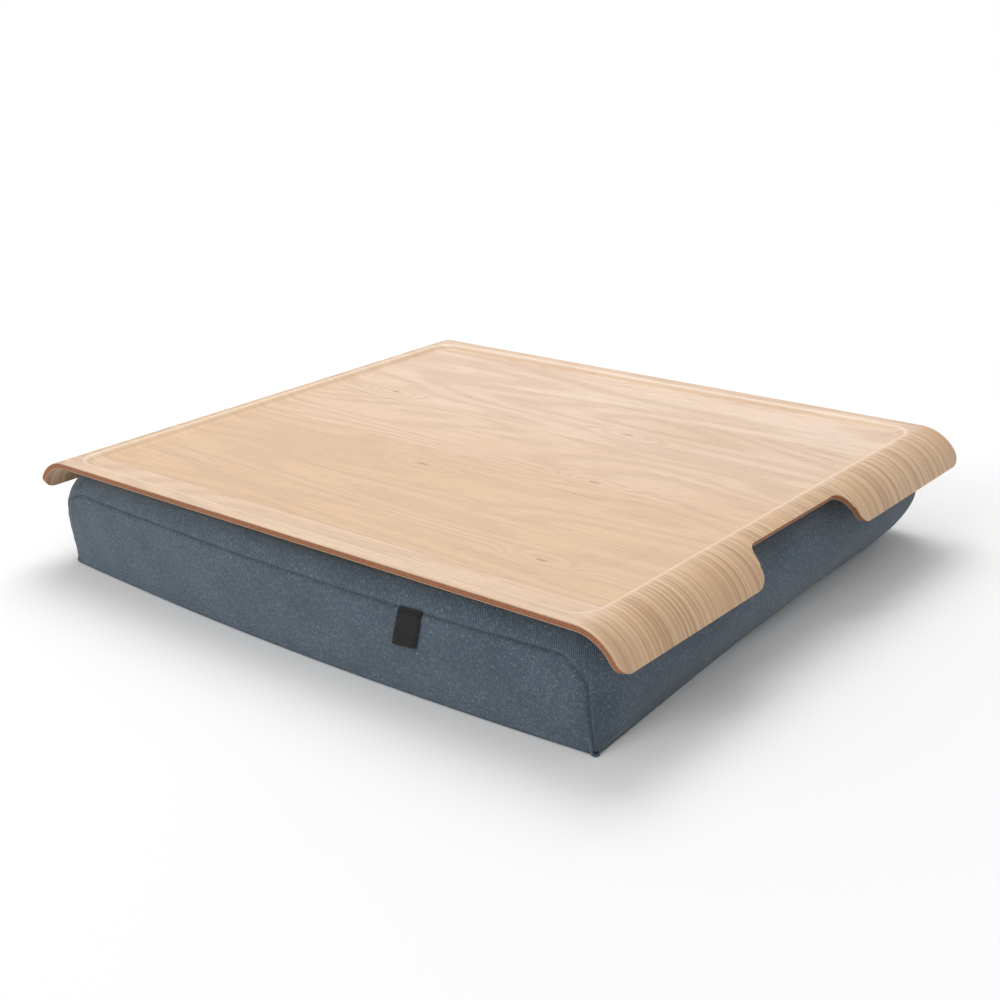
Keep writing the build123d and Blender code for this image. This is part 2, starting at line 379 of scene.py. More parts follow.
knot_places = ((0.137, -0.128), (0.088, -0.015), (-0.02, -0.048), (0.052, 0.072), (-0.146, 0.061))
knot_reach = 12 * MM
knot_radius = 1.8 * MM
knot_heart = 0.3 * MM
knot_pull, knot_dark = 0.0, 0.0
for knot_x, knot_y in knot_places:
    offset_x = calc(tree, "MULTIPLY", calc(tree, "SUBTRACT", along_grain, knot_x), 0.3)
    offset_y = calc(tree, "SUBTRACT", across_grain, knot_y)
    squared_x = calc(tree, "POWER", offset_x, 2.0)
    squared_y = calc(tree, "POWER", offset_y, 2.0)
    distance = calc(tree, "SQRT", calc(tree, "ADD", squared_x, squared_y))
    knot_pull = calc(tree, "ADD", knot_pull, between(tree, distance, knot_reach, 0.0))
    knot_core = between(tree, distance, knot_radius, knot_heart)
    knot_dark = calc(tree, "ADD", knot_dark, knot_core)
strip_shift = calc(tree, "MULTIPLY", strip_key, 0.37)
grain_parts = {0: along_grain, 1: across_grain, 2: strip_shift}
grain_place = put(tree, "ShaderNodeCombineXYZ", grain_parts).outputs[0]
hills = noise(tree, scaled(tree, grain_place, 2.2, 13.0, 1.0), 1.0, 1.5, 0.45, 0.25)
hills = calc(tree, "MULTIPLY_ADD", knot_pull, 0.16, hills)
ring_count = calc(tree, "MULTIPLY_ADD", tone, 9.0, 11.0)
ring_turn = calc(tree, "MULTIPLY", calc(tree, "MULTIPLY", hills, ring_count), math.tau)
ring_wave = calc(tree, "SINE", ring_turn)
rings = between(tree, ring_wave, -0.7, 1.0)
fibres = noise(tree, scaled(tree, grain_place, 9.0, 900.0, 1.0), 1.0, 3.0, 0.6, 0.0)
pore_noise = noise(tree, scaled(tree, grain_place, 60.0, 1700.0, 3.0), 1.0, 1.0, 0.5)
pores = between(tree, pore_noise, 0.62, 0.72)
clouds = noise(tree, scaled(tree, grain_place, 5.0, 9.0, 0.4), 1.0, 3.0, 0.55, 0.6)
knots = calc(tree, "MINIMUM", knot_dark, 1.0)
for label, value in zip(figure_names, (rings, fibres, pores, tone, clouds, seams, knots)):
    tree.links.new(value, put_out[label])


roll_light = (0.72, 0.50, 0.31, 1)
roll_dark = (0.29, 0.13, 0.045, 1)
# Cream of the painted highlight along the recess ridge
ridge_painted_highlight = (0.86, 0.73, 0.58, 1)
pore_brown = (0.3, 0.17, 0.08, 1)
seam_brown = (0.25, 0.14, 0.07, 1)
knot_brown = (0.17, 0.085, 0.04, 1)
veneer_relief = 0.07 * MM
bend_start = roll_start - 3 * MM
bend_end = roll_start + 6 * MM


def veneer_material(name, seed, light, dark, amber):
    """Satin lacquered veneer. It is darker and reeded where the sheet was bent over the roll. A painted
    highlight lies along the recess ridge, and painted shade on the recess slopes.
    """
    material, tree, shader = new_material(name, Coat_Weight=0.12, Coat_Roughness=0.3, IOR=1.45)
    grain = vector_attribute(tree, "grain")
    figure = use_group(tree, figure_group, {"Grain": grain, "Seed": seed})
    place = axes(tree, grain)
    bent = between(tree, calc(tree, "ABSOLUTE", place[0]), bend_start, bend_end)
    reeds = noise(tree, scaled(tree, grain, 2.0, 520.0, 1.0), 1.0, 5.0, 0.72, 0.1)
    reeds = between(tree, reeds, 0.36, 0.64)
    bands = noise(tree, scaled(tree, grain, 1.0, 42.0, 1.0), 1.0, 2.0, 0.5, 0.0)
    base = blend_colour(tree, between(tree, figure["Clouds"], 0.35, 0.75, 0.0, 0.45), light, dark)
    warm = calc(tree, "MULTIPLY", between(tree, place[1], 0.12, -0.19), 0.4)
    warm = calc(tree, "ADD", warm, calc(tree, "MULTIPLY", figure["Tone"], 0.45), clamp=True)
    base = blend_colour(tree, warm, base, amber)
    base = laid_over(tree, base, figure["Rings"], 0.42, dark)
    base = laid_over(tree, base, between(tree, figure["Fibres"], 0.45, 0.68), 0.5, dark)
    base = laid_over(tree, base, figure["Pores"], 0.4, pore_brown)
    on_roll = laid_over(tree, roll_light, reeds, 0.75, roll_dark)
    on_roll = laid_over(tree, on_roll, between(tree, bands, 0.45, 0.7), 0.6, amber)
    base = laid_over(tree, base, bent, 0.85, on_roll)
    # The pressed attribute holds painted light: a highlight along the recess ridge and shade on the recess
    # slopes
    pressed = axes(tree, vector_attribute(tree, "pressed"))
    # Painted shade: amber over the recess slopes
    base = laid_over(tree, base, pressed[1], 0.45, amber)
    # Painted highlight: cream along the recess ridge
    base = laid_over(tree, base, pressed[0], 0.5, ridge_painted_highlight)
    base = laid_over(tree, base, figure["Seams"], 0.22, seam_brown)
    base = laid_over(tree, base, figure["Knots"], 0.55, knot_brown)
    relief = calc(tree, "MULTIPLY_ADD", figure["Pores"], -0.8, figure["Fibres"])
    relief = calc(tree, "MULTIPLY_ADD", calc(tree, "MULTIPLY", reeds, bent), -1.1, relief)
    relief = calc(tree, "MULTIPLY_ADD", figure["Seams"], -0.8, relief)
    surface(tree, shader, base, figure["Fibres"], (0.4, 0.56), relief, veneer_relief)
    return material


fibre_relief = 0.06 * MM


def shaded(colour, share):
    """The same colour, at that share of its brightness."""
    return [channel * share for channel in colour[:3]] + [1]


def edge_material(name, upper, lower, wood, glue):
    """The cut edge of one veneer: end fibres, with a dark line of glue at its faces."""
    material, tree, shader = new_material(name, IOR=1.45)
    grain = vector_attribute(tree, "grain")
    place = axes(tree, grain)
    share = between(tree, place[2], upper, lower)
    near_face = calc(tree, "ABSOLUTE", calc(tree, "SUBTRACT", share, 0.5))
    glue_line = between(tree, near_face, 0.3, 0.5)
    fleck = noise(tree, scaled(tree, grain, 700.0, 700.0, 2500.0), 1.0, 2.0, 0.6)
    colour = blend_colour(tree, between(tree, fleck, 0.3, 0.7), wood, shaded(wood, 0.62))
    colour = laid_over(tree, colour, glue_line, 0.85, glue)
    surface(tree, shader, colour, fleck, (0.5, 0.8), fleck, fibre_relief)
    return material


straw = (0.76, 0.585, 0.455, 1)
tan = (0.52, 0.34, 0.22, 1)
honey = (0.62, 0.39, 0.20, 1)
red_brown = (0.42, 0.15, 0.06, 1)
rust = (0.5, 0.2, 0.08, 1)
face_end = (0.72, 0.47, 0.28, 1)
back_end = (0.6, 0.38, 0.22, 1)
dark_glue = (0.09, 0.03, 0.018, 1)
show_face = veneer_material("show_veneer", 3.0, straw, tan, honey)
under_face = veneer_material(
    "under_veneer", 11.0, (0.66, 0.48, 0.33, 1), (0.53, 0.36, 0.22, 1), (0.5, 0.32, 0.17, 1)
)
ply_stack = (
    ("face_veneer", 0.0, 0.6, show_face, face_end, "face_wood"),
    ("upper_core_ply", 0.6, 1.4, under_face, red_brown, "core_wood"),
    ("middle_core_ply", 1.4, 2.2, under_face, rust, "core_wood"),
    ("lower_core_ply", 2.2, 3.0, under_face, red_brown, "core_wood"),
    ("back_veneer", 3.0, 3.6, under_face, back_end, "back_wood"),
)
for name, upper, lower, face, edge_wood, slot in ply_stack:
    ply = ply_piece(name + "_sheet", upper * MM, lower * MM)
    cut_edge = edge_material(name + "_edge", upper * MM, lower * MM, edge_wood, dark_glue)
    ply.data.materials.append(face)
    ply.data.materials.append(cut_edge)
    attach(ply, "tray")
    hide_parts(name)

# Cushion cover: six panels of blue-grey canvas, sewn round a bag of beads.
# The beads press the cover out between its seams. The front and back panels have rounded upper
# corners, and their seams end at the bottom in square, pinched corners.
cushion_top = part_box("loop_strip_middle")[0].z
seam_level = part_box("front_panel")[1].z
hem_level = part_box("front_panel")[0].z
zip_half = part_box("zip_tape_upper")[1].x
slot_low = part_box("zip_tape_lower")[0].z
slot_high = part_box("zip_tape_upper")[1].z
side_bow = 4 * MM
front_bow = 8 * MM
cushion_half_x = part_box("right_panel")[1].x - side_bow
left_fullness = 13 * MM
left_foot_fullness = 7 * MM
left_foot_corner = 14 * MM
right_fullness = 2 * MM
back_lift = 20 * MM
back_corner = 30 * MM
cushion_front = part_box("front_panel")[0].y + front_bow
cushion_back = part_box("back_panel")[1].y
foot_level = 0.3 * MM
top_corner = 14 * MM
foot_corner = 4 * MM
foot_reach = 2.5 * MM
top_inset = 15 * MM
base_inset = -1.5 * MM
squareness = 2.6
back_squareness = 1.7
seam_turn = math.radians(38)
seam_corner = 20 * MM
cover_thickness = 1 * MM
press_out = 3.2 * MM
foot_rise = (3 * MM, 30 * MM)
ear_height = 14 * MM
zip_side = 5 * MM
zip_share = 0.5 * (1 - zip_half / (cushion_half_x - top_corner))
cap_shares = (0.4, 0.7, 0.9, 0.97)
corner_columns = 12
foot_steps = (0.9, 2.4)
hem_steps = (-2.4, -1, 0, 1.4)
low_wall_steps = (11.5, 15.5)
seam_steps = (-4.8, -2.2, -0.9, 0, 0.9, 2.2)
top_drops = (7.4, 5, 3, 1.5, 0.6, 0)


def even_shares(count, start=0, end=1):
    """Evenly spaced places from the start up to, but not at, the end."""
    return list(np.linspace(start, end, count + 1)[:-1])


def column_list():
    """The columns round the cushion: the side or corner of each, and its place there from 0 to 1."""
    long_shares, side_shares = even_shares(82), even_shares(66)
    corner_shares = [step / corner_columns for step in range(corner_columns)]
    back_shares = even_shares(13, 0, zip_share) + even_shares(53, zip_share, 1 - zip_share)
    back_shares += even_shares(13, 1 - zip_share, 1)
    places = {
        "front": long_shares,
        "front_right": corner_shares,
        "right": side_shares,
        "back_right": corner_shares,
        "back": back_shares,
        "back_left": corner_shares,
        "left": side_shares,
        "front_left": corner_shares,
    }
    return [(side, share) for side, shares in places.items() for share in shares]


def wall_rows():
    """Levels of the rows up the cushion's wall, closer where a seam or an edge runs."""
    rows = [foot_level] + [step * MM for step in foot_steps]
    rows += [hem_level + step * MM for step in hem_steps]
    rows += [step * MM for step in low_wall_steps]
    rows += list(np.linspace(slot_low, slot_high, 5))
    rows += [seam_level + step * MM for step in seam_steps]
    return rows + [cushion_top - drop * MM for drop in top_drops]


def smooth_share(value, low, high):
    """How far the value has gone from low to high, with a soft start and end."""
    share = np.clip((value - low) / (high - low), 0, 1)
    return share * share * (3 - 2 * share)


def wall_point(column, level):
    """The cushion's outside at one column and level, before the beads press it out."""
    side, share = column
    height = level / cushion_top
    lean = abs(2 * height - 1)
    drawn_in = 1 - (1 - lean**squareness) ** (1 / squareness)
    lifted = 1 - (1 - lean**back_squareness) ** (1 / back_squareness)
    front_inset = (top_inset if height > 0.5 else base_inset) * drawn_in
    back_inset = top_inset * drawn_in if height > 0.5 else back_lift * lifted
    rise = smooth_share(level, *foot_rise)
    front_foot = foot_corner if side in ("front", "front_right", "right") else left_foot_corner
    front_corner = front_foot + (top_corner - front_foot) * rise
    rear_corner = back_corner + (top_corner - back_corner) * rise
    front, back = cushion_front + front_inset, cushion_back - back_inset
    if side == "front":
        left_corner = left_foot_corner + (top_corner - left_foot_corner) * rise
        left_end = -cushion_half_x + front_inset + left_corner
        right_end = cushion_half_x - front_inset - front_corner
        x = left_end + (right_end - left_end) * share
        y = front - front_bow * (1 - (2 * share - 1) ** 2)
    elif side == "back":
        reach = cushion_half_x - back_inset - rear_corner
        from_middle = abs(share - 0.5) / (0.5 - zip_share)
        x = zip_half * min(from_middle, 1)
        if from_middle > 1:
            x += (reach - zip_half) * (abs(share - 0.5) - (0.5 - zip_share)) / zip_share
        x = x if share < 0.5 else -x
        y = back
    elif side in ("left", "right"):
        far = share if side == "right" else 1 - share
        y = front + front_corner + (back - rear_corner - front - front_corner) * far
        bow = side_bow * (2 * math.sin(math.pi * height) - 1) * (1 - (2 * far - 1) ** 2)
        x = cushion_half_x - front_inset - (back_inset - front_inset) * far**1.3 + bow
        x = x if side == "right" else -x
    else:
        start = {"front_right": -90, "back_right": 0, "back_left": 90, "front_left": 180}[side]
        angle = math.radians(start + 90 * share)
        in_front = "front" in side
        corner, inset = (front_corner, front_inset) if in_front else (rear_corner, back_inset)
        ear_share = math.sin(math.pi * share) ** 2 if side == "front_right" else 0
        ear = foot_reach * (1 - smooth_share(level, 0, ear_height)) * ear_share
        end = 1 if "right" in side else -1
        x = (cushion_half_x - inset - corner) * end + (corner + ear) * math.cos(angle)
        y = (front + corner if in_front else back - corner) + (corner + ear) * math.sin(angle)
    belly = math.sin(math.pi * height)
    left_reach = left_foot_fullness + (left_fullness - left_foot_fullness) * belly
    x -= left_reach * smooth_share(-x, zip_half + zip_side, cushion_half_x - top_corner)
    x += right_fullness * smooth_share(x, zip_half + zip_side, cushion_half_x - top_corner)
    return (x, y, level)


columns = column_list()
levels = wall_rows()
wall = np.array([[wall_point(column, level) for column in columns] for level in levels])


def cap_rows(edge):
    """Rows that close the cushion inward from its lowest or highest wall row."""
    middle = np.array([0, (cushion_front + cushion_back) / 2, edge[0, 2]])
    return np.array([middle + (edge - middle) * np.array([share, share, 1]) for share in cap_shares])


cap_count = len(cap_shares)
cushion_grid = np.concatenate([cap_rows(wall[0]), wall, cap_rows(wall[-1])[::-1]])


def grid_cell(row, step, count):
    """The corners of one four-sided cell in a ring of that many columns."""
    start, above, after = row * count, (row + 1) * count, (step + 1) % count
    return [start + step, start + after, above + after, above + step]


def grid_faces(rows, count, capped=True):
    """Faces of a closed ring of columns, from the lowest row to the highest, with its two ends."""
    faces = [grid_cell(row, step, count) for row in range(rows - 1) for step in range(count)]
    if capped:
        faces.append(list(range(count))[::-1])
        faces.append([(rows - 1) * count + step for step in range(count)])
    return faces


press_frames = 20
press_settings = {
    "quality": 4,
    "mass": 0.3,
    "tension_stiffness": 12,
    "compression_stiffness": 12,
    "shear_stiffness": 4,
    "bending_stiffness": 0.4,
    "use_pressure": True,
    "uniform_pressure_force": 4,
    "vertex_group_mass": "pins",
}
zip_margin = (6 * MM, 5 * MM)


def press_cover(grid):
    """Lets the beads press the cover out between its pinned seams, by a cloth simulation."""
    rows, count = grid.shape[:2]
    flat = grid.reshape(-1, 3)
    blank = new_piece("cover_blank", flat, grid_faces(rows, count))
    pins = blank.vertex_groups.new(name="pins")
    for index, (x, y, z) in enumerate(flat):
        row, step = divmod(index, count)
        side = columns[step][0]
        in_cap = row < cap_count + 1 or row >= rows - cap_count - 2
        on_seam = abs(z - seam_level) < 0.1 * MM and side in ("front", "back")
        beside, above = zip_margin
        by_zip = side == "back" and abs(x) < zip_half + beside and slot_low - above < z < slot_high + above
        if in_cap or on_seam or by_zip:
            pins.add([index], 1.0, "REPLACE")
    cloth = blank.modifiers.new("press", "CLOTH")
    for key, value in press_settings.items():
        setattr(cloth.settings, key, value)
    cloth.settings.effector_weights.gravity = 0
    cloth.collision_settings.use_self_collision = False
    cloth.point_cache.frame_start = 1
    cloth.point_cache.frame_end = press_frames
    for frame_number in range(1, press_frames + 1):
        bpy.context.scene.frame_set(frame_number)
    pressed = blank.evaluated_get(bpy.context.evaluated_depsgraph_get()).to_mesh()
    moved = np.empty(len(flat) * 3, np.float32)
    pressed.vertices.foreach_get("co", moved)
    shift = moved.reshape(-1, 3) - flat
    bpy.data.objects.remove(blank, do_unlink=True)
    bpy.context.scene.frame_set(1)
    length = np.maximum(np.linalg.norm(shift, axis=1, keepdims=True), 1e-9)
    shift *= press_out * np.tanh(length / press_out) / length
    return (flat + shift).reshape(grid.shape)


def refine(values, closed):
    """Doubles the rows of a grid along its first axis on a smooth curve through them."""
    if closed:
        before, after, next_after = [np.roll(values, step, 0) for step in (1, -1, -2)]
        middle = (9 * (values + after) - before - next_after) / 16
        return np.stack([values, middle], 1).reshape((-1,) + values.shape[1:])
    padded = np.concatenate([values[:1], values, values[-1:]])
    middle = (9 * (values[:-1] + values[1:]) - padded[:-3] - padded[3:]) / 16
    woven = np.empty((2 * len(values) - 1,) + values.shape[1:])
    woven[0::2], woven[1::2] = values, middle
    return woven


pressed_grid = press_cover(cushion_grid)
cover_grid = refine(np.swapaxes(refine(np.swapaxes(pressed_grid, 0, 1), True), 0, 1), False)
cover_rows, cover_columns = cover_grid.shape[:2]


def arc_lengths(line):
    """Length along a line of points, up to each of them."""
    steps = np.linalg.norm(np.diff(line, axis=0), axis=1)
    return np.concatenate([[0], np.cumsum(steps)])


middle_row = 2 * (cap_count + len(levels) // 2)
front_column = 60
around = arc_lengths(cover_grid[middle_row])
up_wall = arc_lengths(cover_grid[:, front_column])


def grid_normals(grid):
    """Outward directions of a closed grid."""
    east = np.roll(grid, -1, 1) - np.roll(grid, 1, 1)
    north = np.gradient(grid, axis=0)
    normal = np.cross(east, north)
    return normal / np.maximum(np.linalg.norm(normal, axis=2, keepdims=True), 1e-12)


def column_at(side, share):
    """The refined column nearest to a place on that side or corner."""
    found = min((abs(place - share), step) for step, (name, place) in enumerate(columns) if name == side)
    return 2 * found[1]


turn_share = seam_turn / (math.pi / 2)
front_seams = (column_at("front_left", 1 - turn_share), column_at("front_right", turn_share))
back_seams = (column_at("back_right", 1 - turn_share), column_at("back_left", turn_share))


def seam_distance(seams):
    """How far each point of the wall is from the seam round a front or back panel."""
    length = around[-1] + np.linalg.norm(cover_grid[middle_row][0] - cover_grid[middle_row][-1])
    start, end = around[seams[0]], around[seams[1]]
    end += length if end < start else 0
    half = (end - start) / 2
    along = np.abs((around - (start + half) + length / 2) % length - length / 2)[None, :]
    height = np.maximum(cover_grid[:, :, 2], 0)
    corner_x, corner_z = along - (half - seam_corner), height - (seam_level - seam_corner)
    rounded = np.hypot(np.maximum(corner_x, 0), np.maximum(corner_z, 0)) - seam_corner
    straight = np.maximum(corner_x, corner_z) - seam_corner
    return np.abs(np.where((corner_x > 0) & (corner_z > 0), rounded, straight))


foot_fade = (0.5 * MM, 6 * MM)
top_fade = (58 * MM, 60 * MM)
groove_depth, groove_width = 0.7 * MM, 1.2 * MM
lip_height, lip_place, lip_width = 0.2 * MM, 3.2 * MM, 1.8 * MM
slack_height, slack_waves = 0.9 * MM, (70 * MM, 38 * MM)
# Width of the painted shade along the seam groove
seam_shade_width = 0.9 * MM
calm_side, calm_above, calm_depth = 8 * MM, 6 * MM, 15 * MM
pucker_height, pucker_waves, pucker_reach = 0.35 * MM, (9 * MM, 14 * MM), 7 * MM


def hump(distance, width):
    """A soft hump, 1 where the distance is nothing."""
    return np.exp(-((distance / width) ** 2))


seam_gap = np.minimum(seam_distance(front_seams), seam_distance(back_seams))
cover_out = grid_normals(cover_grid)
cover_x, cover_y, cover_z = np.moveaxis(cover_grid, 2, 0)
wall_share = smooth_share(cover_z, *foot_fade) * (1 - smooth_share(cover_z, *top_fade))
groove = -groove_depth * hump(seam_gap, groove_width)
lip = lip_height * hump(seam_gap - lip_place, lip_width)


def ripple(lengths, heights, scales, seed):
    """Soft unevenness from a few crossed waves, the same on each run."""
    waves = random.Random(seed)
    total = np.zeros(np.broadcast(lengths, heights).shape)
    for scale in scales:
        for _ in range(4):
            turn, phase = waves.uniform(0, math.pi), waves.uniform(0, 2 * math.pi)
            size = scale * waves.uniform(0.75, 1.35)
            travel = lengths * math.cos(turn) + heights * math.sin(turn)
            total += np.sin(2 * math.pi * travel / size + phase)
    return total / (4 * len(scales))


around_grid = np.broadcast_to(around[None, :], seam_gap.shape)
slack = slack_height * ripple(around_grid, cover_z, slack_waves, 5)
pucker = pucker_height * ripple(around_grid, cover_z, pucker_waves, 9) * hump(seam_gap, pucker_reach)
near_zip = (np.abs(cover_x) < zip_half + calm_side) & (cover_y > cushion_back - calm_depth)
near_zip &= (cover_z > slot_low - calm_side) & (cover_z < slot_high + calm_above)
relief = (groove + lip + slack + pucker) * wall_share * ~near_zip
cover_grid = cover_grid + cover_out * relief[:, :, None]
cover_grid[:, :, 2] = np.clip(cover_grid[:, :, 2], foot_level, cushion_top)


weave_names = ("Thread", "Light Threads", "Clouds")
tree, given, put_out = new_group(
    "canvas weave",
    [
        ("Cloth", "NodeSocketVector", None),
        ("Thread Size", "NodeSocketFloat", 1.05 * MM),
        ("Ribs", "NodeSocketFloat", 0.0),
    ],
    [(label, "NodeSocketFloat") for label in weave_names],
)
weave_group = tree
along_cloth, up_cloth, _ = axes(tree, given["Cloth"])
wobble = noise(tree, scaled(tree, given["Cloth"], 90.0, 90.0, 90.0), 1.0, 2.0, 0.5)
wobble = calc(tree, "MULTIPLY", calc(tree, "SUBTRACT", wobble, 0.5), 0.9)
per_thread = calc(tree, "DIVIDE", math.tau, given["Thread Size"])
warp_turn = calc(tree, "MULTIPLY_ADD", along_cloth, per_thread, wobble)
weft_turn = calc(tree, "MULTIPLY_ADD", up_cloth, per_thread, wobble)
twill_turn = calc(tree, "MULTIPLY", calc(tree, "ADD", warp_turn, weft_turn), 0.75)
warp = wave(tree, warp_turn)
twill = wave(tree, twill_turn)
thread = put(tree, "ShaderNodeMix", {0: given["Ribs"], 2: twill, 3: warp}).outputs[0]
warp_cells = calc(tree, "FLOOR", calc(tree, "DIVIDE", along_cloth, given["Thread Size"]))
yarn_key = calc(tree, "MULTIPLY", warp_cells, 3.7)
yarn_length = calc(tree, "MULTIPLY", up_cloth, 420.0)
yarn_place = put(tree, "ShaderNodeCombineXYZ", {0: yarn_key, 1: yarn_length}).outputs[0]
yarn = noise(tree, yarn_place, 1.0, 3.0, 0.65)
fleck = noise(tree, scaled(tree, given["Cloth"], 1500.0, 900.0, 800.0), 1.0, 2.0, 0.6)
light_threads = calc(tree, "MULTIPLY", between(tree, yarn, 0.4, 0.75), between(tree, fleck, 0.4, 0.66))
clouds = noise(tree, scaled(tree, given["Cloth"], 28.0, 36.0, 28.0), 1.0, 4.0, 0.6)
for label, value in zip(weave_names, (thread, light_threads, clouds)):
    tree.links.new(value, put_out[label])
weave_relief = 0.22 * MM


def canvas_material(name, ribs, light, middle, dark):
    """Blue-grey canvas of mixed threads, with lint on the threads that stand highest and painted shade
    along its seams.
    """
    lint = {"Sheen_Weight": 0.25, "Sheen_Roughness": 0.5}
    material, tree, shader = new_material(name, Specular_IOR_Level=0.25, **lint)
    weave = use_group(tree, weave_group, {"Cloth": vector_attribute(tree, "cloth"), "Ribs": ribs})
    seam = axes(tree, vector_attribute(tree, "seam"))[0]
    colour = blend_colour(tree, between(tree, weave["Thread"], 0.1, 0.8), dark, middle)
    colour = laid_over(tree, colour, weave["Light Threads"], 0.75, light)
    colour = laid_over(tree, colour, between(tree, weave["Clouds"], 0.35, 0.7), 0.25, dark)
    # Painted shade: a dark line in the seam groove
    colour = laid_over(tree, colour, seam, 0.45, shaded(dark, 0.35))
    height = calc(tree, "MULTIPLY_ADD", weave["Light Threads"], 0.6, weave["Thread"])
    surface(tree, shader, colour, weave["Thread"], (0.78, 0.92), height, weave_relief)
    return material


canvas_light = (0.30, 0.36, 0.40, 1)
canvas_middle = (0.09, 0.13, 0.17, 1)
canvas_dark = (0.022, 0.038, 0.058, 1)
canvas = canvas_material("blue_canvas", 0.15, canvas_light, canvas_middle, canvas_dark)
ribbed_canvas = canvas_material("ribbed_canvas", 0.85, canvas_light, canvas_middle, canvas_dark)
# Painted shade along the seams, faded out at the foot and the top of the wall
seam_painted_shade = hump(seam_gap, seam_shade_width) * wall_share


column_step = 1 * MM


def panel_piece(name, rows, first, count, material, hole=None):
    """One panel of the cover, cut from the grid: its rows, its first column and column count."""
    low, high = rows
    steps = [(first + step) % cover_columns for step in range(count + 1)]
    closed = count == cover_columns
    if closed:
        steps = steps[:-1]
    points = cover_grid[low : high + 1][:, steps].reshape(-1, 3)
    width = len(steps)
    faces = []
    for row in range(high - low):
        for step in range(width if closed else width - 1):
            if not (hole and hole(low + row, steps[step])):
                faces.append(grid_cell(row, step, width))
    if closed and low == 0:
        faces.append(list(range(width))[::-1])
    if closed and high == cover_rows - 1:
        faces.append([(high - low) * width + step for step in range(width)])
    lengths = np.array([around[step] for step in steps])
    wraps = np.array([step < first and not closed for step in steps])
    lengths = lengths + wraps * (around[-1] + column_step)
    cloth = np.zeros((high - low + 1, width, 3))
    cloth[:, :, 0] = lengths[None, :]
    cloth[:, :, 1] = up_wall[low : high + 1, None]
    for row in range(low, high + 1):
        if row < 2 * cap_count or row > cover_rows - 1 - 2 * cap_count:
            cloth[row - low, :, :2] = cover_grid[row][steps, :2]
    piece = new_piece(name + "_canvas", points, faces, 60)
    store(piece, "cloth", cloth)
    seam_shade_marks = np.zeros((high - low + 1, width, 3))
    # The seam attribute carries the painted shade along the seams
    seam_shade_marks[:, :, 0] = seam_painted_shade[low : high + 1][:, steps]
    store(piece, "seam", seam_shade_marks)
    work = bmesh.new()
    work.from_mesh(piece.data)
    loose = [vertex for vertex in work.verts if not vertex.link_faces]
    bmesh.ops.delete(work, geom=loose, context="VERTS")
    work.to_mesh(piece.data)
    work.free()
    shell = piece.modifiers.new("thickness", "SOLIDIFY")
    shell.thickness = cover_thickness
    shell.offset = -1
    piece.data.materials.append(material)
    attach(piece, "cushion")
    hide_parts(name)


def row_at(level):
    """The refined row at a level of the wall."""
    found = min((abs(place - level), row) for row, place in enumerate(levels))
    return 2 * (found[1] + cap_count)


hem_row, seam_row = row_at(hem_level), row_at(seam_level)
slot_rows = (row_at(slot_low), row_at(slot_high))


def in_slot(row, step):
    """Whether that cell of the back wall lies in the slot for the zip."""
    across = (cover_grid[row, step, 0] + cover_grid[row, (step + 1) % cover_columns, 0]) / 2
    return slot_rows[0] <= row < slot_rows[1] and abs(across) < zip_half


panel_spans = {
    "front_panel": front_seams,
    "right_panel": (front_seams[1], back_seams[0]),
    "back_panel": back_seams,
    "left_panel": (back_seams[1], front_seams[0]),
}
for name, (first, last) in panel_spans.items():
    hole = in_slot if name == "back_panel" else None
    panel_piece(name, (hem_row, seam_row), first, (last - first) % cover_columns, canvas, hole)
panel_piece("bottom_panel", (0, hem_row), 0, cover_columns, canvas)
panel_piece("top_panel", (seam_row, cover_rows - 1), 0, cover_columns, ribbed_canvas)

# Filling: expanded foam beads in a thin off-white bag, inside the cover.
# The bag hangs free of the cover's wall at the back, where the zip slider runs.
liner_gap = 1.7 * MM
bag_thickness = 0.6 * MM


def inner_bag(name, gap, material):
    """A closed bag that follows the cover from inside at that gap."""
    grid = (cover_grid - cover_out * gap)[::2, ::2].copy()
    grid[:, :, 1] = np.minimum(grid[:, :, 1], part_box(name)[1].y)
    grid[:, :, 2] = np.clip(grid[:, :, 2], foot_level + gap, cushion_top - gap)
    bag = new_piece(name + "_bag", grid.reshape(-1, 3), grid_faces(*grid.shape[:2]), 60)
    bag.data.materials.append(material)
    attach(bag, "cushion")
    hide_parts(name)


lining, tree, shader = new_material("white_lining", Sheen_Weight=0.1)
lining_place = own_place(tree)
lining_weave = noise(tree, scaled(tree, lining_place, 1400.0, 1400.0, 1400.0), 1.0, 2.0, 0.6)
lining_cloud = noise(tree, lining_place, 30.0, 3.0, 0.5)
lining_tone = blend_colour(tree, lining_cloud, (0.76, 0.75, 0.71, 1), (0.66, 0.64, 0.6, 1))
surface(tree, shader, lining_tone, lining_weave, (0.75, 0.95), lining_weave, 0.1 * MM)
inner_bag("liner_bag", liner_gap, lining)

beads, tree, shader = new_material("foam_beads", Subsurface_Weight=0.1, Subsurface_Scale=0.002)
bead_cells = put(tree, "ShaderNodeTexVoronoi", {"Vector": own_place(tree), "Scale": 330.0}).outputs
bead_edge = bead_cells["Distance"]
# Painted shade: each bead darkens towards its edge, where it meets the next bead
bead_gap_shade = blend_colour(tree, bead_edge, (0.92, 0.92, 0.9, 1), (0.7, 0.7, 0.68, 1))
bead_dome = calc(tree, "SUBTRACT", 1.0, bead_edge)
surface(tree, shader, bead_gap_shade, bead_edge, (0.55, 0.8), bead_dome, 1.5 * MM)
inner_bag("bead_fill", liner_gap + bag_thickness, beads)

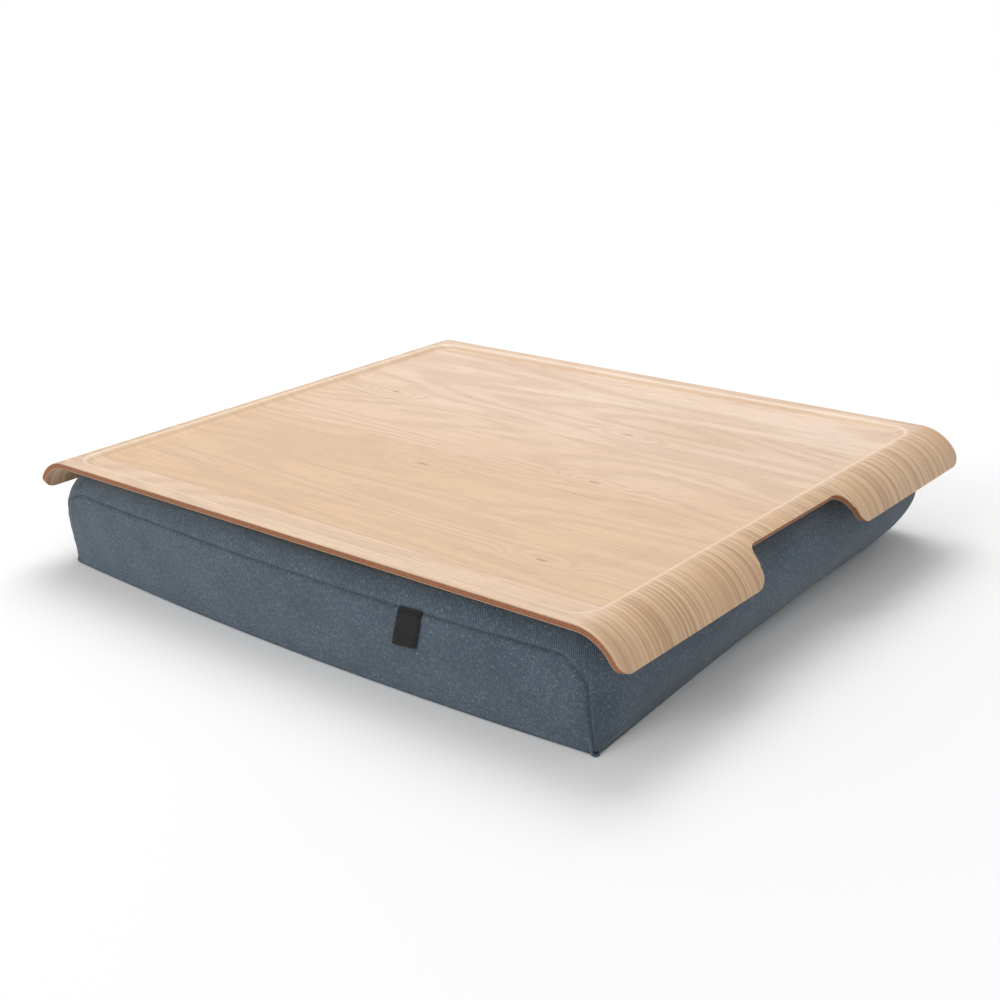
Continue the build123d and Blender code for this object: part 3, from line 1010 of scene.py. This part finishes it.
# Label: a short piece of black woven tape, caught in the top seam of the front panel.
# It hangs a little askew, its cut ends are frayed, and black thread holds its right-hand edge.
label_low, label_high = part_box("blank_label")
label_slant = 3.4 * MM
label_lift = 0.5 * MM
label_curl = 1.1 * MM
label_thickness = 0.55 * MM
label_rows, label_columns = 24, 18
label_tuck = 0.3 * MM
label_tilt = 1.2 * MM
edge_fray = 0.22 * MM
hang_share = 0.55
front_wall = BVHTree.FromPolygons(
    [tuple(point) for point in cover_grid.reshape(-1, 3)], grid_faces(cover_rows, cover_columns, False)
)


def on_front(x, z):
    """How far forward the cover stands at that place of its front."""
    return front_wall.ray_cast(Vector((x, -0.4, z)), Vector((0, 1, 0)))[0].y


def label_place(across, down, tuck):
    """Where a share of the label's width and height lies, seen from the front."""
    x = label_low.x + (label_high.x - label_low.x) * across + label_slant * (hang_share - down)
    return x, label_high.z + tuck - (label_high.z - label_low.z) * down


label_points = []
for layer in (label_thickness, 0):
    fray = random.Random(21)
    for row in range(label_rows + 1):
        down = row / label_rows
        for step in range(label_columns + 1):
            across = step / label_columns
            shake = edge_fray if step in (0, label_columns) or row == label_rows else 0
            x, z = label_place(across, down, label_tuck + label_tilt * across)
            x += fray.uniform(-shake, shake)
            z += fray.uniform(-shake, shake)
            stand = label_lift + label_curl * down**2 * (0.4 + 0.6 * across) + layer
            label_points.append((x, on_front(x, z) - stand, z))
label_width = label_columns + 1
label_count = (label_rows + 1) * label_width
label_faces = []
for row in range(label_rows):
    for step in range(label_columns):
        cell = [row * label_width + step, (row + 1) * label_width + step]
        cell += [cell[1] + 1, cell[0] + 1]
        label_faces.append(cell)
        label_faces.append([corner + label_count for corner in reversed(cell)])
loop = list(range(label_width))
loop += [row * label_width + label_columns for row in range(1, label_rows + 1)]
loop += [label_rows * label_width + step for step in range(label_columns - 1, -1, -1)]
loop += [row * label_width for row in range(label_rows - 1, 0, -1)]
for start, end in zip(loop, loop[1:] + loop[:1]):
    label_faces.append([start, end, end + label_count, start + label_count])
label = new_piece("label_tape", label_points, label_faces, 50)
tape_black, tree, shader = new_material("black_tape", Sheen_Weight=0.1, Specular_IOR_Level=0.25)
tape_place = own_place(tree)
tape_wave = {"Vector": tape_place, "Scale": 420.0, "Distortion": 1.2}
tape_ribs = put(tree, "ShaderNodeTexWave", tape_wave, bands_direction="Z").outputs["Fac"]
tape_lint = noise(tree, scaled(tree, tape_place, 700.0, 700.0, 2200.0), 1.0, 4.0, 0.7)
lint_share = between(tree, tape_lint, 0.5, 0.85)
tape_tone = blend_colour(tree, lint_share, (0.006, 0.006, 0.007, 1), (0.06, 0.06, 0.062, 1))
tape_height = calc(tree, "ADD", tape_ribs, tape_lint)
surface(tree, shader, tape_tone, tape_lint, (0.6, 0.9), tape_height, 0.25 * MM)
label.data.materials.append(tape_black)
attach(label, "cushion")
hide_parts("blank_label")


def tube(points, radius, sides=6):
    """Points and faces of a thread or wire that follows the points."""
    line = np.array(points)
    ahead = np.gradient(line, axis=0)
    ahead /= np.linalg.norm(ahead, axis=1, keepdims=True)
    first = np.cross(ahead, (0, 1, 0.3))
    first /= np.linalg.norm(first, axis=1, keepdims=True)
    second = np.cross(ahead, first)
    turns = [2 * math.pi * step / sides for step in range(sides)]
    rings = [line + radius * (first * math.cos(turn) + second * math.sin(turn)) for turn in turns]
    faces = [grid_cell(row, step, sides)[::-1] for row in range(len(line) - 1) for step in range(sides)]
    faces.append(list(range(sides)))
    faces.append([(len(line) - 1) * sides + step for step in range(sides)][::-1])
    return np.stack(rings, 1).reshape(-1, 3), faces


def joined(parts):
    """Several sets of points and faces as one."""
    points, faces = [], []
    for part_points, part_faces in parts:
        start = len(points)
        points.extend(map(tuple, part_points))
        faces.extend([corner + start for corner in face] for face in part_faces)
    return points, faces


stitch_count = 9
stitch_share = 0.06
stitch_rise = 0.25 * MM
stitch_sink = 0.1 * MM
stitch_radius = 0.22 * MM
stitch_tuck = 1.4 * MM
stitch_across = 0.9
stitches = []
for number in range(stitch_count):
    down = (number + 0.7) / (stitch_count + 0.4)
    arc = []
    for share in (0, 0.25, 0.5, 0.75, 1):
        place = down + (share - 0.5) * stitch_share
        x, z = label_place(stitch_across, place, stitch_tuck)
        rise = label_lift + label_curl * place**2 + label_thickness
        rise += stitch_rise * math.sin(math.pi * share) - stitch_sink
        arc.append((x, on_front(x, z) - rise, z))
    stitches.append(tube(arc, stitch_radius))
thread = new_piece("label_stitches", *joined(stitches))
thread.data.materials.append(tape_black)
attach(thread, "cushion")

# Hook-and-loop strips: three pairs of black tape between the tray and the cushion.
# The hook side is glued under the tray, and the loop side is sewn to the cushion.
def pile_material(name, scale, height, dark, light):
    """Black tape with a pile of small hooks or loops."""
    material, tree, shader = new_material(name, Sheen_Weight=0.3)
    place = own_place(tree)
    tufts = put(tree, "ShaderNodeTexVoronoi", {"Vector": place, "Scale": scale}).outputs["Distance"]
    tangle = noise(tree, place, scale * 1.7, 3.0, 0.7)
    pile = calc(tree, "MULTIPLY", calc(tree, "ADD", tufts, tangle), 0.5)
    tone = blend_colour(tree, between(tree, pile, 0.2, 0.7), dark, light)
    surface(tree, shader, tone, pile, (0.6, 0.95), pile, height)
    return material


def finish_node(name, material):
    """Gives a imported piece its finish."""
    for place in nodes[name].material_slots:
        place.material = material


hook_pile = pile_material("hook_pile", 900.0, 0.5 * MM, (0.006, 0.006, 0.007, 1), (0.035, 0.035, 0.037, 1))
loop_pile = pile_material("loop_pile", 600.0, 0.6 * MM, (0.009, 0.009, 0.01, 1), (0.05, 0.05, 0.052, 1))
for place in ("left", "middle", "right"):
    finish_node("hook_strip_" + place, hook_pile)
    finish_node("loop_strip_" + place, loop_pile)

# Zip: woven tapes with a sewn coil on each, a slider with its pull, and two end stops.
# The coils are one bent nylon line each, and the metal pieces are dark plated.
zip_cloth, tree, shader = new_material("zip_tape_cloth", Sheen_Weight=0.15)
zip_place = own_place(tree)
along_tape, _, up_tape = axes(tree, zip_place)
zip_turn = calc(tree, "MULTIPLY_ADD", along_tape, 6500.0, calc(tree, "MULTIPLY", up_tape, 5200.0))
zip_rib = wave(tree, zip_turn)
zip_lint = noise(tree, zip_place, 1500.0, 2.0, 0.6)
zip_tone = blend_colour(tree, zip_rib, (0.018, 0.028, 0.038, 1), (0.045, 0.066, 0.085, 1))
zip_tone = laid_over(tree, zip_tone, zip_lint, 0.25, (0.11, 0.14, 0.16, 1))
surface(tree, shader, zip_tone, zip_lint, (0.7, 0.9), zip_rib, 0.12 * MM)
for place in ("upper", "lower"):
    finish_node("zip_tape_" + place, zip_cloth)

nylon, tree, shader = new_material("coil_nylon", IOR=1.5)
nylon_wear = noise(tree, own_place(tree), 220.0, 3.0, 0.6)
nylon_tone = blend_colour(tree, nylon_wear, (0.02, 0.03, 0.04, 1), (0.05, 0.07, 0.09, 1))
surface(tree, shader, nylon_tone, nylon_wear, (0.25, 0.55), nylon_wear, 0.03 * MM)
coil_pitch = 1.6 * MM
coil_steps = 10
coil_wire = 0.3 * MM
coil_overlap = 0.1 * MM
for place, up_side in (("upper", 1), ("lower", -1)):
    low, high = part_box("zip_chain_" + place)
    middle_y, middle_z = (low.y + high.y) / 2, (low.z + high.z) / 2
    turns = int((high.x - low.x - 2 * coil_wire) / coil_pitch)
    reach_y = (high.y - low.y) / 2 - coil_wire
    reach_z = (high.z - low.z) / 2 + coil_overlap
    route = []
    for step in range(turns * coil_steps + 1):
        turn = 2 * math.pi * step / coil_steps + (0 if up_side > 0 else math.pi)
        x = low.x + coil_wire + coil_pitch * step / coil_steps
        route.append((x, middle_y + reach_y * math.sin(turn), middle_z + reach_z * math.cos(turn)))
    coil = new_piece(f"zip_coil_{place}", *tube(route, coil_wire), 60)
    coil.data.materials.append(nylon)
    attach(coil, "cushion")
    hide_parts("zip_chain_" + place)

plated, tree, shader = new_material("dark_plated_metal", Metallic=1.0)
metal_wear = noise(tree, own_place(tree), 380.0, 4.0, 0.65)
metal_tone = blend_colour(tree, metal_wear, (0.17, 0.17, 0.18, 1), (0.3, 0.3, 0.31, 1))
metal_scuff = between(tree, metal_wear, 0.2, 0.8)
surface(tree, shader, metal_tone, metal_scuff, (0.25, 0.48), metal_wear, 0.02 * MM)
for name in ("zip_slider", "zip_pull", "zip_stop_left", "zip_stop_right"):
    finish_node(name, plated)

# Stage: a pale floor under soft studio light, with the camera at the photograph's angle.
# The camera's place, turn and lens were fitted to the tray's outline.
floor_half = 4.0
floor_corners = [(x * floor_half, y * floor_half, 0) for x, y in ((-1, -1), (1, -1), (1, 1), (-1, 1))]
floor = new_piece("floor", floor_corners, [[0, 1, 2, 3]])
paper, tree, shader = new_material("pale_paper", Specular_IOR_Level=0.15)
paper_place = own_place(tree)
paper_cloud = noise(tree, paper_place, 3.0, 3.0, 0.5)
paper_tone = blend_colour(tree, paper_cloud, (0.90, 0.90, 0.90, 1), (0.93, 0.93, 0.93, 1))
tree.links.new(paper_tone, shader["Base Color"])
tree.links.new(calc(tree, "MULTIPLY_ADD", paper_cloud, 0.1, 0.8), shader["Roughness"])
paper_distance = put(tree, "ShaderNodeVectorMath", {0: paper_place}, operation="LENGTH").outputs["Value"]
seen = put(tree, "ShaderNodeLightPath").outputs["Is Camera Ray"]
far_white = calc(tree, "MULTIPLY", between(tree, paper_distance, 0.3, 0.62), seen)
white_light = put(tree, "ShaderNodeEmission", {"Color": (1, 1, 1, 1), "Strength": 1.0}).outputs[0]
near_paper = tree.nodes["Principled BSDF"].outputs[0]
paper_mix = put(tree, "ShaderNodeMixShader", {0: far_white, 1: near_paper, 2: white_light}).outputs[0]
tree.links.new(paper_mix, tree.nodes["Material Output"].inputs["Surface"])
floor.data.materials.append(paper)

world = bpy.data.worlds.new("studio")
bpy.context.scene.world = world
world.use_nodes = True
tree = world.node_tree
rays = put(tree, "ShaderNodeLightPath").outputs
seen = calc(tree, "MAXIMUM", rays["Is Camera Ray"], rays["Is Glossy Ray"])
seen = calc(tree, "MAXIMUM", seen, rays["Is Transmission Ray"])
room_level = 0.6
tree.nodes["Background"].inputs["Color"].default_value = (1, 1, 1, 1)
strength = calc(tree, "MULTIPLY_ADD", seen, 1 - room_level, room_level)
tree.links.new(strength, tree.nodes["Background"].inputs["Strength"])


def soft_light(name, place, size, power, aim=(0, 0, 0.05)):
    """A large soft lamp, turned to its aim."""
    lamp = bpy.data.lights.new(name, "AREA")
    lamp.shape = "RECTANGLE"
    lamp.size, lamp.size_y = size
    lamp.energy = power
    holder = bpy.data.objects.new(name, lamp)
    bpy.context.scene.collection.objects.link(holder)
    holder.location = place
    holder.rotation_euler = (Vector(aim) - Vector(place)).to_track_quat("-Z", "Y").to_euler()


soft_light("top_light", place=(-0.6, 0.7, 1.6), size=(1.2, 1.2), power=19)
soft_light("front_light", place=(-0.2, -1.8, 1.0), size=(1.2, 0.9), power=11)

photo_focal = 1493.9
photo_side = 1000
yaw, pitch, roll = math.radians(40.23), math.radians(20.34), math.radians(-1.81)
eye = Vector((588.3, -693.7, 299.0 + 70.0)) * MM
backward = Vector((math.sin(yaw) * math.cos(pitch), -math.cos(yaw) * math.cos(pitch), math.sin(pitch)))
level_right = (-backward).cross(Vector((0, 0, 1))).normalized()
level_up = level_right.cross(-backward)
right = math.cos(roll) * level_right + math.sin(roll) * level_up
up = -math.sin(roll) * level_right + math.cos(roll) * level_up
camera_data = bpy.data.cameras.new("camera")
camera_data.sensor_width = 36
camera_data.lens = photo_focal / photo_side * camera_data.sensor_width
camera = bpy.data.objects.new("camera", camera_data)
camera.matrix_world = Matrix.Translation(eye) @ Matrix((right, up, backward)).transposed().to_4x4()
bpy.context.scene.collection.objects.link(camera)
bpy.context.scene.camera = camera
bpy.context.scene.view_settings.view_transform = "Standard"
